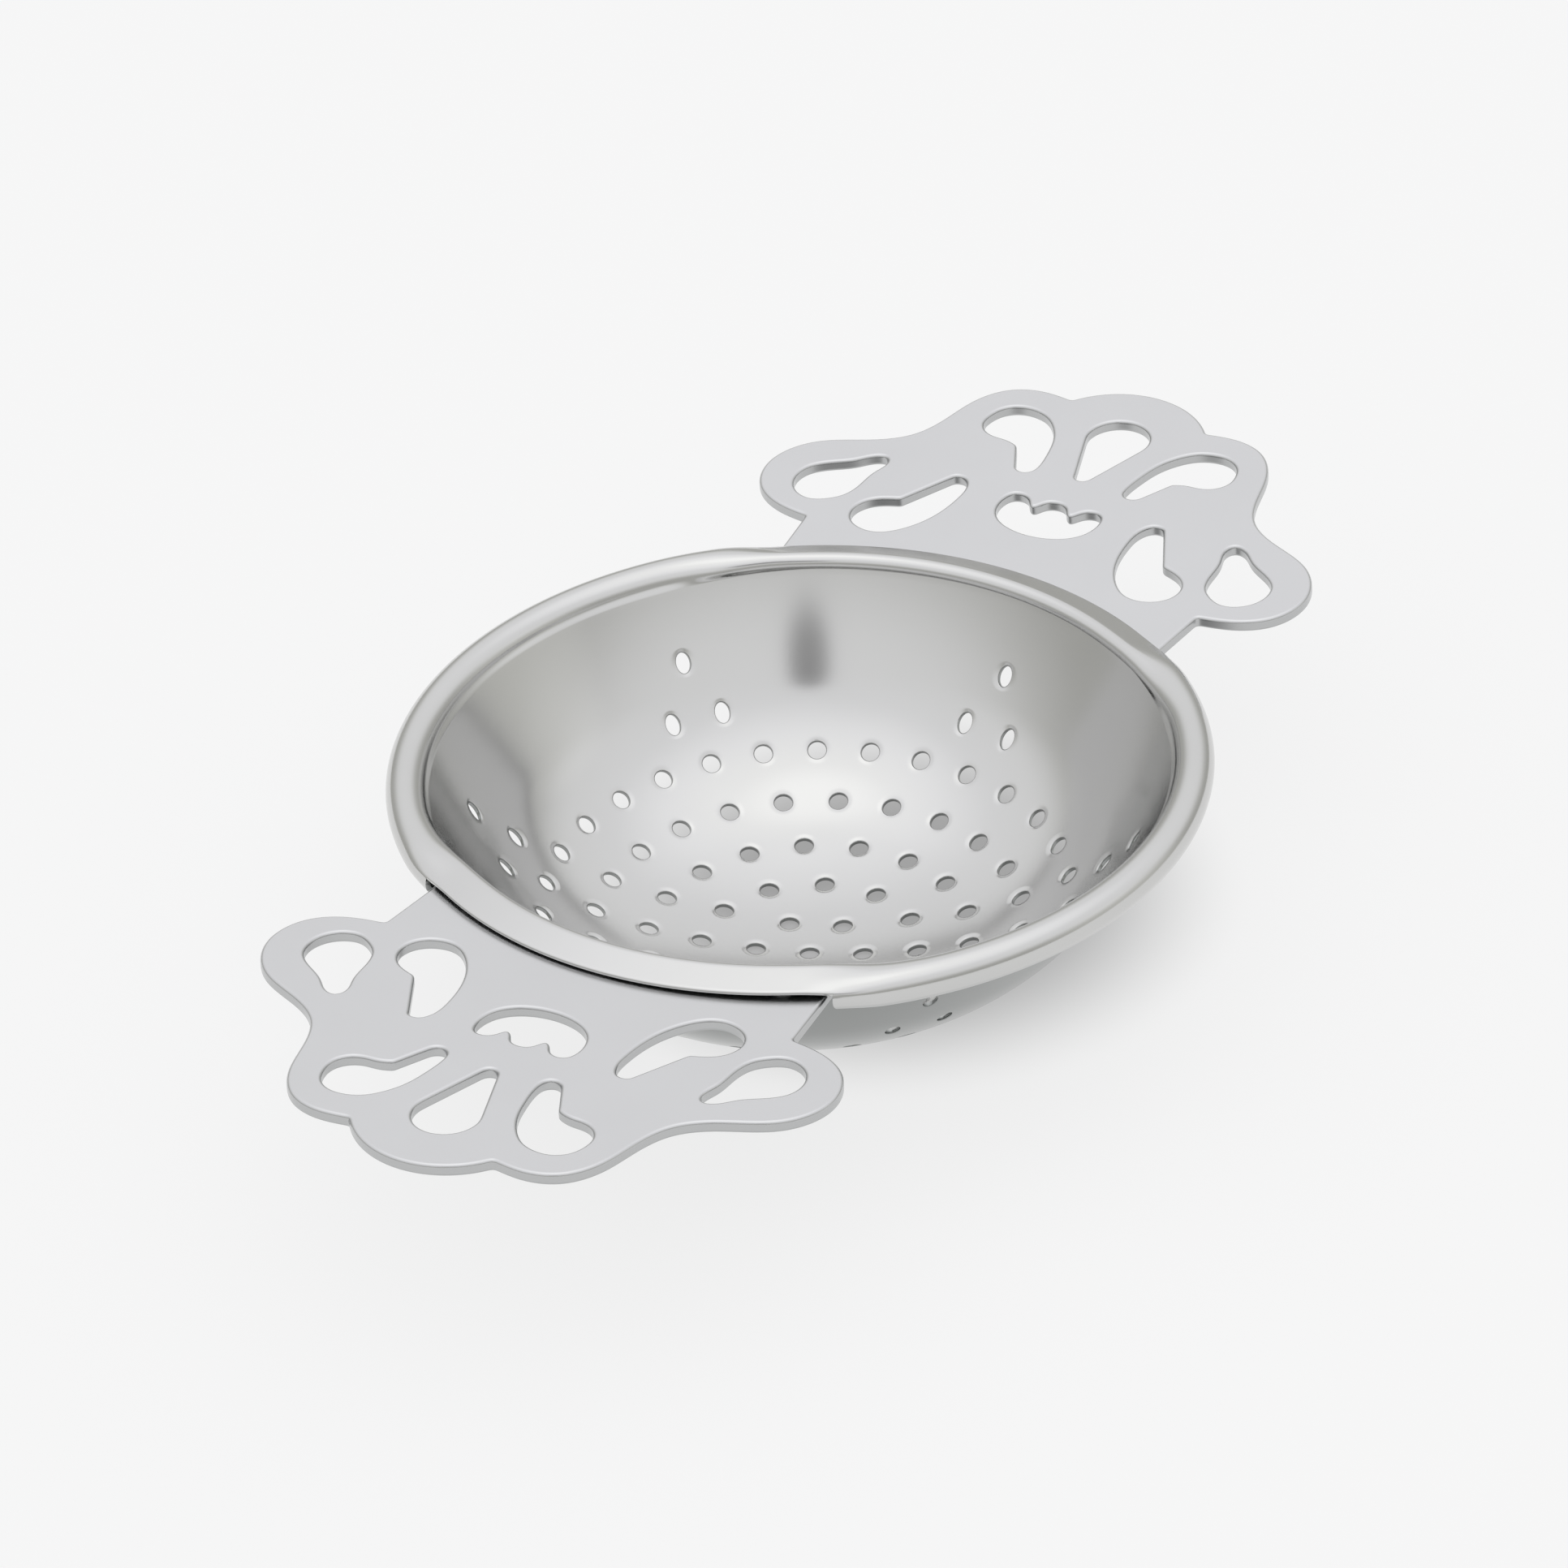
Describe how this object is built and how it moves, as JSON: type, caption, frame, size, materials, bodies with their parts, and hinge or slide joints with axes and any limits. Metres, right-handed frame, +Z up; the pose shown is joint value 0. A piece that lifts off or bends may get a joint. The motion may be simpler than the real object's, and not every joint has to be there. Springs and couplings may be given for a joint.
{
  "type": "tea strainer",
  "caption": "Over-the-cup tea strainer: a perforated stainless bowl with a rolled rim, held by two openwork handle plates that rest on the cup.",
  "frame": {"origin": "lowest point of the bowl, on the bowl's axis, where it touches the surface it stands on", "axes": "+Z up along the bowl's axis, +X along the two handles, +Y across the bowl"},
  "size_m": [0.14, 0.0758, 0.0226],
  "materials": {
    "bowl_steel": "satin polished",
    "handle_steel": "satin polished",
    "weld_metal": "dull"
  },
  "bodies": {
    "root": {"strainer_bowl": "bowl_steel", "right_handle": "handle_steel", "left_handle": "handle_steel", "right_weld_tacks": "weld_metal", "left_weld_tacks": "weld_metal"}
  },
  "joints": []
}
